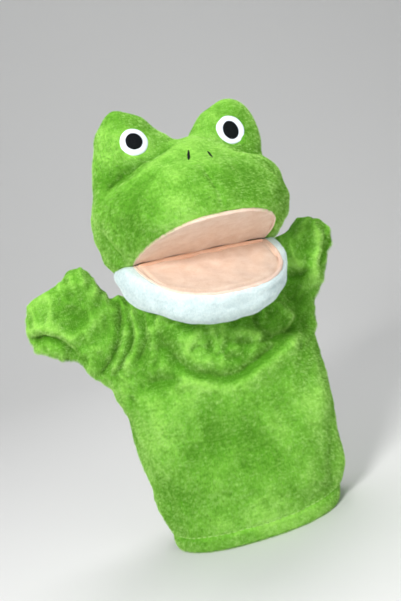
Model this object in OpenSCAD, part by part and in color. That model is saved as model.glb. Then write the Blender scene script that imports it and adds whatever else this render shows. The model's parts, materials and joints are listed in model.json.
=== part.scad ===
// Plush frog hand puppet with a mouth that the hand opens and closes.
// Frame: the origin is the middle of the hand opening, +Z runs up the sleeve, the frog faces -Y and
// its own left side is +X. The pose is the resting pose: head turned and tipped, mouth open, arms out.

/* [Sleeve] */
// Half width of the sleeve at the hem
hem_half_w = 57; // [50:1:62]
// Half depth of the sleeve at the hem
hem_half_d = 36; // [30:1:40]
// Half width of the sleeve at the chest
chest_half_w = 68; // [62:1:72]
// Half depth of the sleeve at the belly
belly_half_d = 39; // [34:1:42]
// Height of the sleeve's top edge
sleeve_h = 162; // [160:1:164]
// Thickness of the plush cloth, backing and pile together
cloth_t = 1.6; // [1.2:0.1:2]
// Height of the turned hem
hem_h = 10; // [7:1:12]

/* [Head] */
// Turn of the head towards the frog's left
head_yaw = 22; // [15:1:27]
// Tip of the head, negative is chin up
head_pitch = -5; // [-8:1:0]
// Lean of the head towards the frog's left
head_roll = 7; // [3:1:9]
// Half width of the head
head_half_w = 62; // [58:1:64]
// Half depth of the head
head_half_d = 60; // [56:1:62]
// Half height of the head
head_half_h = 45; // [42:1:48]
// Radius of the soft neck
neck_r = 28; // [26:0.5:28.5]

/* [Mouth] */
// Half width of the mouth lining
mouth_half_w = 45; // [40:1:47]
// Depth of the mouth lining from its fold to the lip
mouth_depth = 52; // [48:1:54]
// Rise of the upper mouth lining above straight ahead
upper_rise = 22.5; // [20:0.5:26]
// Fall of the lower mouth lining below straight ahead
lower_fall = 29; // [26:0.5:31]
// Depth of the chin below the lower lining
chin_depth = 25; // [20:1:27]

/* [Eyes] */
// Distance of each eye from the middle
eye_spread = 34; // [31:1:36]
// Radius of the white of the eye
eye_white_r = 9.3; // [8:0.1:10]
// Radius of the pupil
pupil_r = 5.8; // [4.5:0.1:6.5]
// Height of an eye bump above the crown
bump_h = 34; // [30:1:38]
// Half width of an eye bump
bump_half_w = 19; // [16:1:20]

/* [Arms] */
// Half thickness of an arm
arm_half_t = 12; // [9:0.5:13]
// Radius of the round root of an arm
arm_root_r = 22; // [20:0.5:22]

/* [Hidden] */

$fn = 48;
left = 1;
right = -1;

// Colours
green = [0.44, 0.69, 0.23];
white = [0.88, 0.94, 0.93];
peach = [0.95, 0.80, 0.71];
dark = [0.08, 0.1, 0.12];
card = [0.75, 0.66, 0.5];
lining = [0.85, 0.86, 0.8];
fibre = [0.95, 0.95, 0.92];

// Neck axis, and the middle of the mouth's fold
neck_x = 2;
neck_y = -2;
fold_back = 34;
fold_z = 193;
fold_x = neck_x + fold_back * sin(head_yaw);
fold_y = neck_y - fold_back * cos(head_yaw);
neck_low = 152;
neck_high = 178;
neck_wall = 1.2;

// Sleeve sections from the hem up: height, middle x, middle y, half width, half depth
SLEEVE = [
    [0, 0, 0, hem_half_w, hem_half_d],
    [hem_h, 0, 0, hem_half_w, hem_half_d],
    [30, 2, 0, mix(hem_half_w, chest_half_w, 0.55), mix(hem_half_d, belly_half_d, 0.7)],
    [60, 3, 0, chest_half_w - 1.5, belly_half_d],
    [90, 3, 0, chest_half_w, belly_half_d - 1],
    [106, 3, 0, chest_half_w, belly_half_d - 3],
    [114, 3, -1, 56, 34.5],
    [120, 3, -2, 41, 33],
    [134, 3, -2, 39.5, 32],
    [148, 2.5, -2, 37, 31.5],
    [156, neck_x, neck_y, neck_r + 3, neck_r + 3],
    [sleeve_h, neck_x, neck_y, neck_r + 3, neck_r + 3]];
sleeve_power = 2.3;
sleeve_cols = 14;
band_gap = 0.3;
hem_thread_gap = 0.2;

// Head form, in head coordinates: x to the frog's left, -y ahead, z up, from the mouth's fold
head_mid_f = -6;
head_mid_u = 22;
head_power = 2.5;
crown_cols = 8;
corner_tilt = -24;
front_tilt = 6;
// Tilt of the brow seam in the middle, and how far it drops at the sides
brow_mid_tilt = 78;
brow_drop = 34;
brow_curve = 1.5;
// How far down the head's back each way ends: 1 at the low tilt, and this at the collar
collar_way = 1.25;
// Turn over which the white cloth's upper edge falls to the collar
white_turn = 50;
collar_r = neck_r + 5.5;
collar_f = -fold_back + 1;
collar_u = -10;
// Gap between the white cloth and the green, as a share of the way down the head
white_gap = 0.015;
mouth_power = 2.4;
lining_gap = 0.4;
felt_t = 1.2;
board_t = 1.5;
lining_inset = 3;
fold_r = 2;
fold_end_gap = 5;
// Pockets for the fingers and the thumb: half width, height, length
FINGER_POCKET = [28, 18, 30];
THUMB_POCKET = [16, 13, 26];
pocket_start = 6;
pocket_wall = 1.2;
pocket_power = 2.8;
stuffing_inset = 5;
stuffing_floor = 41;

// Eye bumps
bump_f = 4;
bump_front_t = 11;
bump_back_t = 9;
bump_gap = 0.3;
bump_power = 2.6;
bump_wall = 1.6;
eye_f = bump_f + bump_front_t + 0.2;
eye_u = 73;
thread_t = 0.8;
thread_gap = 0.1;
eye_wad_r = 6.5;
// Nostril: distance from the middle, places ahead and up, tip back, splay, radius and length
nostril_x = 7;
nostril_f = 36;
nostril_u = 60.5;
nostril_tip = -40;
nostril_splay = 12;
nostril_r = 0.6;
nostril_l = 5;

// Chin: bulge of its sides, squareness of its dip, and how its back edge runs
chin_bulge = 0.09;
chin_spread = 1.04;
chin_round = 0.8;
chin_back = 4;
chin_back_slope = 0.9;
chin_back_bow = 2;
chin_end_turn = 88;
jaw_wad_r = 4.5;
jaw_wad_half = 15;
jaw_wad_f = 39;
jaw_wad_drop = 10;

// Arm pivots: x, y, z
PIVOT_LEFT = [66, 11, 144];
PIVOT_RIGHT = [-60, 0, 150];
seam_t = 0.4;
rim_gap = 0.05;
arm_slack = 2.5;
arm_rings = 5;

// Outline of each arm in x and z beyond its round root, from the lower edge outwards and up
ARM_LEFT = [[78, 129], [84, 141], [91, 152], [98, 161], [102, 171], [100, 181], [92, 189],
    [82, 192], [73, 189], [67, 180], [63, 171]];
ARM_RIGHT = [[-54, 175], [-57, 184], [-59, 194], [-62, 201], [-67, 204], [-73, 201], [-77, 195],
    [-84, 195], [-93, 192], [-102, 186], [-107, 178], [-109, 169], [-104, 158], [-93, 150],
    [-83, 140], [-76, 132]];
ARM_LEFT_MIDDLE = [80, 160];
ARM_RIGHT_MIDDLE = [-78, 165];

// Small functions
function mix(p, q, t) = p + (q - p) * t;
function clamp(t) = min(1, max(0, t));
function smooth(t) = let (c = clamp(t)) c * c * (3 - 2 * c);
function power(v, p) = sign(v) * pow(abs(v), p);
function total(v) = v * [for (k = v) 1];

// Point of a superellipse with half sizes a and b, where n is its squareness and t its angle
function oval(a, b, n, t) = [a * power(cos(t), 2 / n), b * power(sin(t), 2 / n)];

// Closed solid between two grids of points with the same rows and columns. loop joins the last
// column to the first, and tip makes the first row one point.
module skin(outer, inner, loop = false, tip = false) {
    rows = len(outer);
    cols = len(outer[0]);
    spots = concat([for (row = outer) for (p = row) p], [for (row = inner) for (p = row) p]);
    function at(i, j, side) = side * rows * cols + (tip && i == 0 ? 0 : i * cols + j % cols);
    ends = loop ? cols : cols - 1;
    quads = concat(
        [for (i = [0 : rows - 2], j = [0 : ends - 1])
            [at(i, j, 0), at(i, j + 1, 0), at(i + 1, j + 1, 0), at(i + 1, j, 0)]],
        [for (i = [0 : rows - 2], j = [0 : ends - 1])
            [at(i + 1, j, 1), at(i + 1, j + 1, 1), at(i, j + 1, 1), at(i, j, 1)]],
        [for (j = [0 : ends - 1])
            [at(rows - 1, j, 0), at(rows - 1, j + 1, 0), at(rows - 1, j + 1, 1), at(rows - 1, j, 1)]],
        tip ? [] : [for (j = [0 : ends - 1]) [at(0, j, 1), at(0, j + 1, 1), at(0, j + 1, 0), at(0, j, 0)]],
        loop ? [] : [for (i = [0 : rows - 2]) [at(i, 0, 0), at(i + 1, 0, 0), at(i + 1, 0, 1), at(i, 0, 1)]],
        loop ? [] : [for (i = [0 : rows - 2])
            [at(i + 1, ends, 0), at(i, ends, 0), at(i, ends, 1), at(i + 1, ends, 1)]]);
    triangles = [for (q = quads) for (t = [[q[0], q[1], q[2]], [q[0], q[2], q[3]]])
        if (t[0] != t[1] && t[1] != t[2] && t[0] != t[2]) t];
    signed = total([for (t = triangles) cross(spots[t[0]], spots[t[1]]) * spots[t[2]]]);
    facing = signed > 0 ? [for (t = triangles) [t[2], t[1], t[0]]] : triangles;
    polyhedron(spots, facing, convexity = 10);
}

// Places head parts, and jaw parts whose own y runs along the lower lining
module in_head() {
    translate([fold_x, fold_y, fold_z]) rotate([0, 0, head_yaw]) rotate([head_pitch, 0, 0])
        rotate([0, head_roll, 0]) children();
}
module in_upper_mouth() { in_head() rotate([-upper_rise, 0, 0]) children(); }
module in_jaw() { in_head() rotate([lower_fall, 0, 0]) children(); }

// Sleeve: two panels that meet at the sides
function sleeve_ring(row, inset, from) = [for (k = [0 : sleeve_cols])
    let (p = oval(row[3] - inset, row[4] - inset, sleeve_power, from + 180 * k / sleeve_cols))
    [row[1] + p[0], row[2] + p[1], row[0]]];
module sleeve_panel(from) {
    skin([for (row = SLEEVE) sleeve_ring(row, 0, from)],
        [for (row = SLEEVE) sleeve_ring(row, cloth_t, from)]);
}
module body_front_panel() { color(green) sleeve_panel(180); }
module body_back_panel() { color(green) sleeve_panel(0); }

module sleeve_oval(inset) {
    steps = 4 * sleeve_cols;
    polygon([for (k = [0 : steps - 1])
        oval(hem_half_w - inset, hem_half_d - inset, sleeve_power, 360 * k / steps)]);
}
// Turned edge of the cloth inside the sleeve, with a flat lower face
module hem_band() {
    color(green) linear_extrude(hem_h - 1) difference() {
        sleeve_oval(cloth_t + band_gap);
        sleeve_oval(2 * cloth_t + band_gap);
    }
}
// Row of stitching that holds the hem
module hem_thread() {
    color(green) translate([0, 0, hem_h - thread_t - thread_gap]) linear_extrude(thread_t) difference() {
        sleeve_oval(-thread_t);
        sleeve_oval(-hem_thread_gap);
    }
}

module neck_tube() {
    color(green) translate([neck_x, neck_y, neck_low]) difference() {
        cylinder(h = neck_high - neck_low, r = neck_r);
        translate([0, 0, -1]) cylinder(h = neck_high - neck_low + 2, r = neck_r - neck_wall);
    }
}

// Head skin. turn runs from straight ahead towards the frog's left, tilt from level up to the top.
function head_spot(turn, tilt, inset) = let (spread = pow(cos(tilt), 2 / head_power)) [
    (head_half_w - inset) * spread * sin(turn),
    -head_mid_f - (head_half_d - inset) * spread * cos(turn),
    head_mid_u + (head_half_h - inset) * power(sin(tilt), 2 / head_power)];
function crown_height(x, y) =
    let (r = norm([x / head_half_w, (y + head_mid_f) / head_half_d]))
    head_mid_u + head_half_h * pow(max(0, 1 - pow(r, head_power)), 1 / head_power);
function low_tilt(turn) = mix(front_tilt, corner_tilt, pow(clamp(abs(turn) / 90), 2));
function brow_tilt(turn) = brow_mid_tilt - brow_drop * pow(abs(turn) / 90, brow_curve);
function lip_spot(turn, inset) =
    let (p = oval(mouth_depth - inset, mouth_half_w - inset, mouth_power, turn))
    [p[1], -p[0] * cos(upper_rise) + inset * sin(upper_rise), p[0] * sin(upper_rise) + inset];
function collar_spot(turn, inset) =
    [(collar_r - inset) * sin(turn), -collar_f - (collar_r - inset) * cos(turn), collar_u];

// way runs from 0 at the top to 1 at the low tilt, and on to collar_way at the collar
function back_spot(turn, way, inset) = way <= 1
    ? head_spot(turn, mix(90, corner_tilt, way), inset)
    : mix(head_spot(turn, corner_tilt, inset), collar_spot(turn, inset), (way - 1) / (collar_way - 1));
function white_edge(turn) = 1 + (collar_way - 1) * smooth((90 - abs(180 - turn)) / white_turn);

module crown_panel() {
    turns = [for (k = [-crown_cols : crown_cols]) 90 * k / crown_cols];
    ways = [0, 0.2, 0.45, 0.72, 1];
    color(green) in_head() skin(
        [for (w = ways) [for (t = turns) head_spot(t, mix(90, brow_tilt(t), w), 0)]],
        [for (w = ways) [for (t = turns) head_spot(t, mix(90, brow_tilt(t), w), cloth_t)]], tip = true);
}
module muzzle_panel(side) {
    turns = [for (k = [0 : crown_cols]) 90 * k / crown_cols];
    ways = [0, 0.2, 0.4, 0.6, 0.8, 1];
    function column(t, w, inset) = head_spot(side * t, mix(brow_tilt(t), low_tilt(t), w), inset);
    color(green) in_head() skin(
        [for (w = concat(ways, 2)) [for (t = turns) w > 1 ? lip_spot(side * t, 0) : column(t, w, 0)]],
        [for (w = concat(ways, 2)) [for (t = turns) w > 1 ? lip_spot(side * t, cloth_t)
            : column(t, w, cloth_t)]]);
}
module head_back_panel() {
    turns = [for (k = [0 : 2 * crown_cols]) 90 + 90 * k / crown_cols];
    ways = [0, 0.15, 0.3, 0.45, 0.6, 0.75, 0.88, 1];
    color(green) in_head() skin(
        [for (w = ways) [for (t = turns) back_spot(t, w * white_edge(t), 0)]],
        [for (w = ways) [for (t = turns) back_spot(t, w * white_edge(t), cloth_t)]], tip = true);
}
module throat_panel(side) {
    turns = [for (k = [0 : 3]) 90 + 90 * k / crown_cols];
    color(white) in_head() skin(
        [for (w = [0, 0.5, 1]) [for (t = turns)
            back_spot(side * t, mix(white_edge(t) + white_gap, collar_way, w), 0)]],
        [for (w = [0, 0.5, 1]) [for (t = turns)
            back_spot(side * t, mix(white_edge(t) + white_gap, collar_way, w), cloth_t)]]);
}
module head_stuffing() {
    turns = [for (t = [0 : 20 : 340]) t];
    tilts = [90, 78, 66, 53, 40, 27];
    color(fibre) in_head() skin(
        [for (a = tilts) [for (t = turns) head_spot(t, a, stuffing_inset)]],
        [for (a = tilts) [for (t = turns)
            let (p = head_spot(t, a, stuffing_inset)) [p[0], p[1], stuffing_floor]]],
        loop = true, tip = true);
}

// Mouth lining and its stiff boards, drawn in the plane of the lining
module mouth_sheet(inset, start) {
    steps = 36;
    intersection() {
        polygon([for (k = [0 : steps]) let (p = oval(mouth_depth - inset, mouth_half_w - inset,
            mouth_power, -90 + 180 * k / steps)) [p[1], -p[0]]]);
        translate([-mouth_half_w, -mouth_depth]) square([2 * mouth_half_w, mouth_depth - start]);
    }
}
module arch(size) {
    steps = 24;
    module half_oval(shrink) {
        polygon([for (k = [0 : steps])
            oval(size[0] - shrink, size[1] - shrink, pocket_power, 180 * k / steps)]);
    }
    rotate([90, 0, 0]) linear_extrude(size[2]) difference() {
        half_oval(0);
        half_oval(pocket_wall);
    }
}
felt_start = 3;
board_start = 4;
board_low = lining_gap + felt_t + 0.1;
pocket_low = board_low + board_t + 0.1;
module upper_palate() {
    color(peach) in_upper_mouth() translate([0, 0, lining_gap]) linear_extrude(felt_t)
        mouth_sheet(lining_inset, felt_start);
}
module upper_palate_board() {
    color(card) in_upper_mouth() translate([0, 0, board_low]) linear_extrude(board_t)
        mouth_sheet(lining_inset + 2, board_start);
}
module finger_pocket() {
    color(lining) in_upper_mouth() translate([0, -pocket_start, pocket_low]) arch(FINGER_POCKET);
}
module lower_palate() {
    color(peach) in_jaw() translate([0, 0, -lining_gap - felt_t]) linear_extrude(felt_t)
        mouth_sheet(lining_inset, felt_start);
}
module lower_palate_board() {
    color(card) in_jaw() translate([0, 0, -board_low - board_t]) linear_extrude(board_t)
        mouth_sheet(lining_inset + 2, board_start);
}
module thumb_pocket() {
    color(lining) in_jaw() translate([0, -pocket_start, -pocket_low]) mirror([0, 0, 1])
        arch(THUMB_POCKET);
}
module mouth_fold() {
    fold_half = mouth_half_w - fold_end_gap;
    color(peach) in_jaw() translate([-fold_half, 0, 0]) rotate([0, 90, 0])
        cylinder(h = 2 * fold_half, r = fold_r);
}

// Chin: a bowl under the lower lining, cut back so that it swings clear of the neck
function chin_spot(turn, dip, inset) =
    let (spread = dip == 0 ? 1 : pow(cos(dip), chin_round) * (1 + chin_bulge * sin(3 * dip)),
         p = oval(mouth_depth - inset, mouth_half_w - inset, mouth_power, turn),
         down = (chin_depth - inset) * pow(sin(dip), chin_round),
         start = chin_back + chin_back_slope * down + chin_back_bow * cos(turn))
    [p[1] * spread * chin_spread, -max(start, p[0] * spread), -down - (dip == 0 ? inset : 0)];
module chin_panel() {
    turns = [for (k = [-crown_cols : crown_cols]) chin_end_turn * k / crown_cols];
    dips = [0, 14, 28, 42, 56, 70];
    color(white) in_jaw() skin(
        [for (d = dips) [for (t = turns) chin_spot(t, d, 0)]],
        [for (d = dips) [for (t = turns) chin_spot(t, d, cloth_t)]]);
}
module jaw_wadding() {
    color(fibre) in_jaw() translate([0, -jaw_wad_f, -jaw_wad_drop]) {
        translate([-jaw_wad_half, 0, 0]) rotate([0, 90, 0]) cylinder(h = 2 * jaw_wad_half, r = jaw_wad_r);
        for (end = [-jaw_wad_half, jaw_wad_half]) translate([end, 0, 0]) sphere(r = jaw_wad_r);
    }
}

// Eye bumps: an arch from the middle of its foot, whose foot lies on the crown
function bump_spot(side, lean, out, thick, inset) =
    let (rim = oval(bump_h - inset, bump_half_w - inset, bump_power, lean),
         x = side * eye_spread + rim[1] * out,
         y = -bump_f - thick * sqrt(max(0, 1 - out * out)))
    [x, y, crown_height(x, y) + bump_gap + rim[0] * out];
module bump_panel(side, thick) {
    leans = [for (k = [-6 : 6]) 15 * k];
    outs = [0, 0.25, 0.5, 0.75, 0.92, 1];
    wall = thick > 0 ? thick - bump_wall : thick + bump_wall;
    color(green) in_head() skin(
        [for (r = outs) [for (a = leans) bump_spot(side, a, r, thick, 0)]],
        [for (r = outs) [for (a = leans) bump_spot(side, a, r, wall, bump_wall)]], tip = true);
}
module eye_disc(side, r, depth) {
    in_head() translate([side * eye_spread, -eye_f - depth, eye_u]) rotate([90, 0, 0])
        cylinder(h = thread_t, r = r);
}
module eye_wadding(side) {
    color(fibre) in_head() translate([side * eye_spread, -bump_f, eye_u + 1]) sphere(r = eye_wad_r);
}
module nostril(side) {
    color(dark) in_head() translate([side * nostril_x, -nostril_f, nostril_u])
        rotate([nostril_tip, side * nostril_splay, 0]) cylinder(h = nostril_l, r = nostril_r, center = true);
}

// Arms: flat stuffed pouches, whose root is round about the pivot
function arc(pivot, from, to, steps) = [for (k = [0 : steps]) let (a = mix(from, to, k / steps))
    [pivot[0] + arm_root_r * cos(a), pivot[2] + arm_root_r * sin(a)]];
function arm_edge(side) = side == left
    ? concat(arc(PIVOT_LEFT, 130, 295, 8), ARM_LEFT)
    : concat(arc(PIVOT_RIGHT, 245, 415, 8), ARM_RIGHT);
function dome(side, thick, inset, y_mid) =
    let (middle = side == left ? ARM_LEFT_MIDDLE : ARM_RIGHT_MIDDLE, edge = arm_edge(side))
    [for (k = [0 : arm_rings]) [for (p = edge)
        let (reach = norm(p - middle), out = (1 - inset / reach) * sin(90 * k / arm_rings),
            q = middle + (p - middle) * out)
        [q[0], y_mid + thick * cos(90 * k / arm_rings), q[1]]]];
module arm_panel(side, sign_y) {
    y_mid = (side == left ? PIVOT_LEFT : PIVOT_RIGHT)[1];
    rim = sign_y * rim_gap;
    color(green) skin(dome(side, sign_y * arm_half_t, 0, y_mid + rim),
        dome(side, sign_y * (arm_half_t - cloth_t), cloth_t, y_mid + rim), loop = true, tip = true);
}
module arm_wadding(side) {
    y_mid = (side == left ? PIVOT_LEFT : PIVOT_RIGHT)[1];
    inset = arm_slack + cloth_t;
    color(fibre) skin(dome(side, arm_half_t - inset, inset, y_mid + seam_t),
        dome(side, inset - arm_half_t, inset, y_mid - seam_t), loop = true, tip = true);
}

body_front_panel();
body_back_panel();
hem_band();
hem_thread();
neck_tube();
crown_panel();
muzzle_panel(left);  // muzzle_panel_left
muzzle_panel(right);  // muzzle_panel_right
head_back_panel();
throat_panel(left);  // throat_panel_left
throat_panel(right);  // throat_panel_right
head_stuffing();
upper_palate();
upper_palate_board();
finger_pocket();
bump_panel(left, bump_front_t);  // eye_bump_front_left
bump_panel(right, bump_front_t);  // eye_bump_front_right
bump_panel(left, -bump_back_t);  // eye_bump_back_left
bump_panel(right, -bump_back_t);  // eye_bump_back_right
eye_wadding(left);  // eye_wadding_left
eye_wadding(right);  // eye_wadding_right
color(white) eye_disc(left, eye_white_r, 0);  // eye_white_left
color(white) eye_disc(right, eye_white_r, 0);  // eye_white_right
color(dark) eye_disc(left, pupil_r, thread_t + thread_gap);  // pupil_left
color(dark) eye_disc(right, pupil_r, thread_t + thread_gap);  // pupil_right
nostril(left);  // nostril_left
nostril(right);  // nostril_right
chin_panel();
lower_palate();
lower_palate_board();
thumb_pocket();
jaw_wadding();
mouth_fold();
arm_panel(left, -1);  // arm_front_left
arm_panel(left, 1);  // arm_back_left
arm_wadding(left);  // arm_wadding_left
arm_panel(right, -1);  // arm_front_right
arm_panel(right, 1);  // arm_back_right
arm_wadding(right);  // arm_wadding_right
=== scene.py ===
"""Looks for the frog hand puppet: plush skins, felt mouth lining, embroidered eyes, studio and camera.

Shapes are worked out in millimetres as distance fields, meshed with OpenVDB, then sculpted with strokes
for seams and folds. Points of the head are given as (x, f, u): to the frog's left, ahead, and up from the
middle of the mouth's fold.
"""
import json
import math

import bpy
import numpy as np
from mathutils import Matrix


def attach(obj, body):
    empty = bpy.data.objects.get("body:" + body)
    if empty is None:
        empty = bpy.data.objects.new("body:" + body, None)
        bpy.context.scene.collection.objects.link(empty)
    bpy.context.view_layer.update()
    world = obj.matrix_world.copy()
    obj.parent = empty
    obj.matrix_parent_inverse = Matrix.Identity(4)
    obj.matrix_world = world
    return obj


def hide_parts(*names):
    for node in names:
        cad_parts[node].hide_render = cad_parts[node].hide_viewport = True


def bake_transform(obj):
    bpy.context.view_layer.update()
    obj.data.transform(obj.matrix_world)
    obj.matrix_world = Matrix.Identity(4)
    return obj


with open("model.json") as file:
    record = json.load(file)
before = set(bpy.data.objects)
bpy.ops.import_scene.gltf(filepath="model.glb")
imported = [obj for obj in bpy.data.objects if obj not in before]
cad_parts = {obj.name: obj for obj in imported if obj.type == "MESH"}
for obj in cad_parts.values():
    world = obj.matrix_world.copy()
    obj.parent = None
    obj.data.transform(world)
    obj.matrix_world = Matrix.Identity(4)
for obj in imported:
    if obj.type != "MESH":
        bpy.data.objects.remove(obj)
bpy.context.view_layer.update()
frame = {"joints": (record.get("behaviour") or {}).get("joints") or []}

import openvdb as vdb
from mathutils import Matrix, Vector
from mathutils.bvhtree import BVHTree

MM = 0.001
RNG = np.random.default_rng(7)

# ---- places taken from the frame
JOINT_PLACES = {j["name"]: np.array(j["pos_m"]) / MM for j in frame["joints"]}
FOLD = JOINT_PLACES["mouth_open"]
NECK = JOINT_PLACES["head_nod"]
SHOULDER_LEFT = JOINT_PLACES["arm_left_raise"]
SHOULDER_RIGHT = JOINT_PLACES["arm_right_raise"]

HEAD_YAW, HEAD_PITCH, HEAD_ROLL = 22, -5, 7
UPPER_RISE, LOWER_FALL = 18.5, 30.5
MOUTH_HALF_W, MOUTH_DEPTH, MOUTH_POWER = 45.5, 52.5, 2.5


def turn(degrees, axis):
    return np.array(Matrix.Rotation(math.radians(degrees), 3, axis))


HEAD = turn(HEAD_YAW, "Z") @ turn(HEAD_PITCH, "X") @ turn(HEAD_ROLL, "Y")


def to_head(p):
    """World millimetres to head (x, f, u)."""
    q = (p - FOLD) @ HEAD
    return np.stack([q[..., 0], -q[..., 1], q[..., 2]], -1)


def from_head(q):
    q = np.asarray(q, float)
    return np.stack([q[..., 0], -q[..., 1], q[..., 2]], -1) @ HEAD.T + FOLD


# ---- fields
def smooth(t):
    t = np.clip(t, 0, 1)
    return t * t * (3 - 2 * t)


def join(a, b, k):
    """Smooth union of two fields."""
    h = np.clip(0.5 + 0.5 * (b - a) / k, 0, 1)
    return b + (a - b) * h - k * h * (1 - h)


def cut(a, b, k):
    """Smooth intersection of two fields."""
    return -join(-a, -b, k)


def egg(p, middle, half, power=2.0):
    """Superellipsoid, as a distance along the ray from its middle."""
    d = p - np.array(middle, float)
    r = (np.abs(d / np.array(half, float)) ** power).sum(-1) ** (1 / power)
    r = np.maximum(r, 1e-6)
    return np.linalg.norm(d, axis=-1) * (1 - 1 / r)


def outline(u, v, points):
    """Signed distance in a plane to a closed outline, negative inside."""
    best = np.full(u.shape, 1e9)
    inside = np.zeros(u.shape, bool)
    ring = np.array(points, float)
    for (ax, ay), (bx, by) in zip(ring, np.roll(ring, -1, 0)):
        ex, ey = bx - ax, by - ay
        t = np.clip(((u - ax) * ex + (v - ay) * ey) / (ex * ex + ey * ey), 0, 1)
        best = np.minimum(best, (u - ax - t * ex) ** 2 + (v - ay - t * ey) ** 2)
        crosses = ((ay > v) != (by > v)) & (u < (bx - ax) * (v - ay) / (by - ay if by != ay else 1e-9) + ax)
        inside ^= crosses
    return np.where(inside, -1, 1) * np.sqrt(best)


class Flat:
    """Signed distance to a closed outline, looked up from a fine grid."""
    STEP, MARGIN = 0.75, 24

    def __init__(self, points):
        ring = np.array(points, float)
        self.low = ring.min(0) - self.MARGIN
        count = np.ceil((ring.max(0) + self.MARGIN - self.low) / self.STEP).astype(int)
        axes = [low + np.arange(n) * self.STEP for low, n in zip(self.low, count)]
        self.grid = outline(*np.meshgrid(*axes, indexing="ij"), points)
        self.most = np.array(self.grid.shape) - 1.001

    def __call__(self, u, v):
        i = np.clip((u - self.low[0]) / self.STEP, 0, self.most[0])
        j = np.clip((v - self.low[1]) / self.STEP, 0, self.most[1])
        a, b = i.astype(int), j.astype(int)
        s, t = i - a, j - b
        g = self.grid
        past = np.hypot(u - self.low[0] - i * self.STEP, v - self.low[1] - j * self.STEP)
        near = g[a, b] * (1 - t) + g[a, b + 1] * t
        far = g[a + 1, b] * (1 - t) + g[a + 1, b + 1] * t
        return near * (1 - s) + far * s + past


def curve_through(points, count, closed=False):
    """Catmull-Rom curve through points."""
    p = np.array(points, float)
    n = len(p)
    spans = n if closed else n - 1
    t = np.linspace(0, spans, count, endpoint=not closed)
    i = np.minimum(t.astype(int), spans - 1)
    s = (t - i)[:, None]

    def at(k):
        return p[k % n] if closed else p[np.clip(k, 0, n - 1)]

    a, b, c, d = at(i - 1), at(i), at(i + 1), at(i + 2)
    square, cube = 2 * a - 5 * b + 4 * c - d, 3 * b - a - 3 * c + d
    return 0.5 * (2 * b + (c - a) * s + square * s ** 2 + cube * s ** 3)


def waves(p, length, seed, count=14):
    """Soft random field of about unit size whose bumps are length apart."""
    rng = np.random.default_rng(seed)
    total = np.zeros(p.shape[:-1])
    for _ in range(count):
        way = rng.normal(size=p.shape[-1])
        way *= 2 * math.pi / (length * rng.uniform(0.8, 1.4) * np.linalg.norm(way))
        total += np.cos(p @ way + rng.uniform(0, 2 * math.pi))
    return total / math.sqrt(count / 2)


def creased(p, length, seed):
    """Random field of soft hollows between narrow ridges, like crumpled cloth."""
    return 0.7 - 1.3 * np.minimum(np.abs(waves(p, length, seed)), 1)


def mesh_of(field, low, high, voxel=1.35, slab=24):
    """Vertices and quads of a field's surface inside a box, worked out slab by slab."""
    low, high = np.array(low, float), np.array(high, float)
    axes = [np.arange(a, b + voxel, voxel) for a, b in zip(low, high)]
    grid = np.stack(np.meshgrid(*axes, indexing="ij"), -1)
    values = np.empty(grid.shape[:3], np.float32)
    for k in range(0, grid.shape[0], slab):
        values[k:k + slab] = field(grid[k:k + slab])
    edge = 3 * voxel
    values = np.clip(values, -edge, edge)
    for face in (0, -1):
        values[face] = values[:, face] = values[:, :, face] = edge
    volume = vdb.FloatGrid(edge)
    volume.copyFromArray(values)
    points, quads = volume.convertToQuads()
    return points * voxel + low, quads


def sides_of(quads):
    """Start and end of each quad's four sides."""
    return np.concatenate([quads[:, [k, (k + 1) % 4]] for k in range(4)])


class Shape:
    """A mesh being sculpted, in millimetres."""

    def __init__(self, co, quads):
        self.co = np.array(co, float)
        self.quads = np.array(quads, int)
        self.painted_light_and_nap = np.zeros(len(self.co))
        self.link()

    def link(self):
        self.edges = np.unique(np.sort(sides_of(self.quads), 1), axis=0)
        self.degree = np.bincount(self.edges.ravel(), minlength=len(self.co))

    def normals(self):
        a, b, c, d = (self.co[self.quads[:, k]] for k in range(4))
        n = np.cross(c - a, d - b)
        out = np.zeros_like(self.co)
        for k in range(4):
            np.add.at(out, self.quads[:, k], n)
        return out / np.maximum(np.linalg.norm(out, axis=1, keepdims=True), 1e-12)

    def average(self, values):
        out = np.zeros_like(values)
        np.add.at(out, self.edges[:, 0], values[self.edges[:, 1]])
        np.add.at(out, self.edges[:, 1], values[self.edges[:, 0]])
        degree = np.maximum(self.degree, 1)
        return out / (degree[:, None] if values.ndim > 1 else degree)

    def relax(self, rounds, share=0.5, mask=None):
        for _ in range(rounds):
            step = share * (self.average(self.co) - self.co)
            self.co += step if mask is None else step * mask[:, None]
        return self

    def push(self, amount):
        """Moves each vertex along its normal."""
        self.co += self.normals() * np.asarray(amount)[:, None]
        return self

    def keep(self, mask):
        """Part of the shape: the quads whose middle satisfies the mask function."""
        middle = self.co[self.quads].mean(1)
        return self.of_quads(self.quads[mask(middle)])

    def of_quads(self, quads):
        used, back = np.unique(quads, return_inverse=True)
        part = Shape(self.co[used], back.reshape(quads.shape))
        part.painted_light_and_nap = self.painted_light_and_nap[used]
        part.used = used
        return part

    def shell(self, inward):
        """Open sheet made into cloth: an inner face, each point's step inward away, and closed rims. Returns
        the shape, and which quads are rims or inside."""
        n = len(self.co)
        q = self.quads
        sides = sides_of(q)
        rim = sides[~np.isin(sides @ (n, 1), sides @ (1, n))]
        rims = np.stack([rim[:, 1], rim[:, 0], rim[:, 0] + n, rim[:, 1] + n], 1)
        quads = np.concatenate([q, rims, q[:, ::-1] + n])
        is_inner = np.arange(len(quads)) >= len(q)
        cloth = Shape(np.concatenate([self.co, self.co + inward]), quads)
        cloth.painted_light_and_nap = np.concatenate([self.painted_light_and_nap, self.painted_light_and_nap])
        return cloth, is_inner

    def tree(self):
        return BVHTree.FromPolygons(self.co.tolist(), self.quads.tolist())


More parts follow.
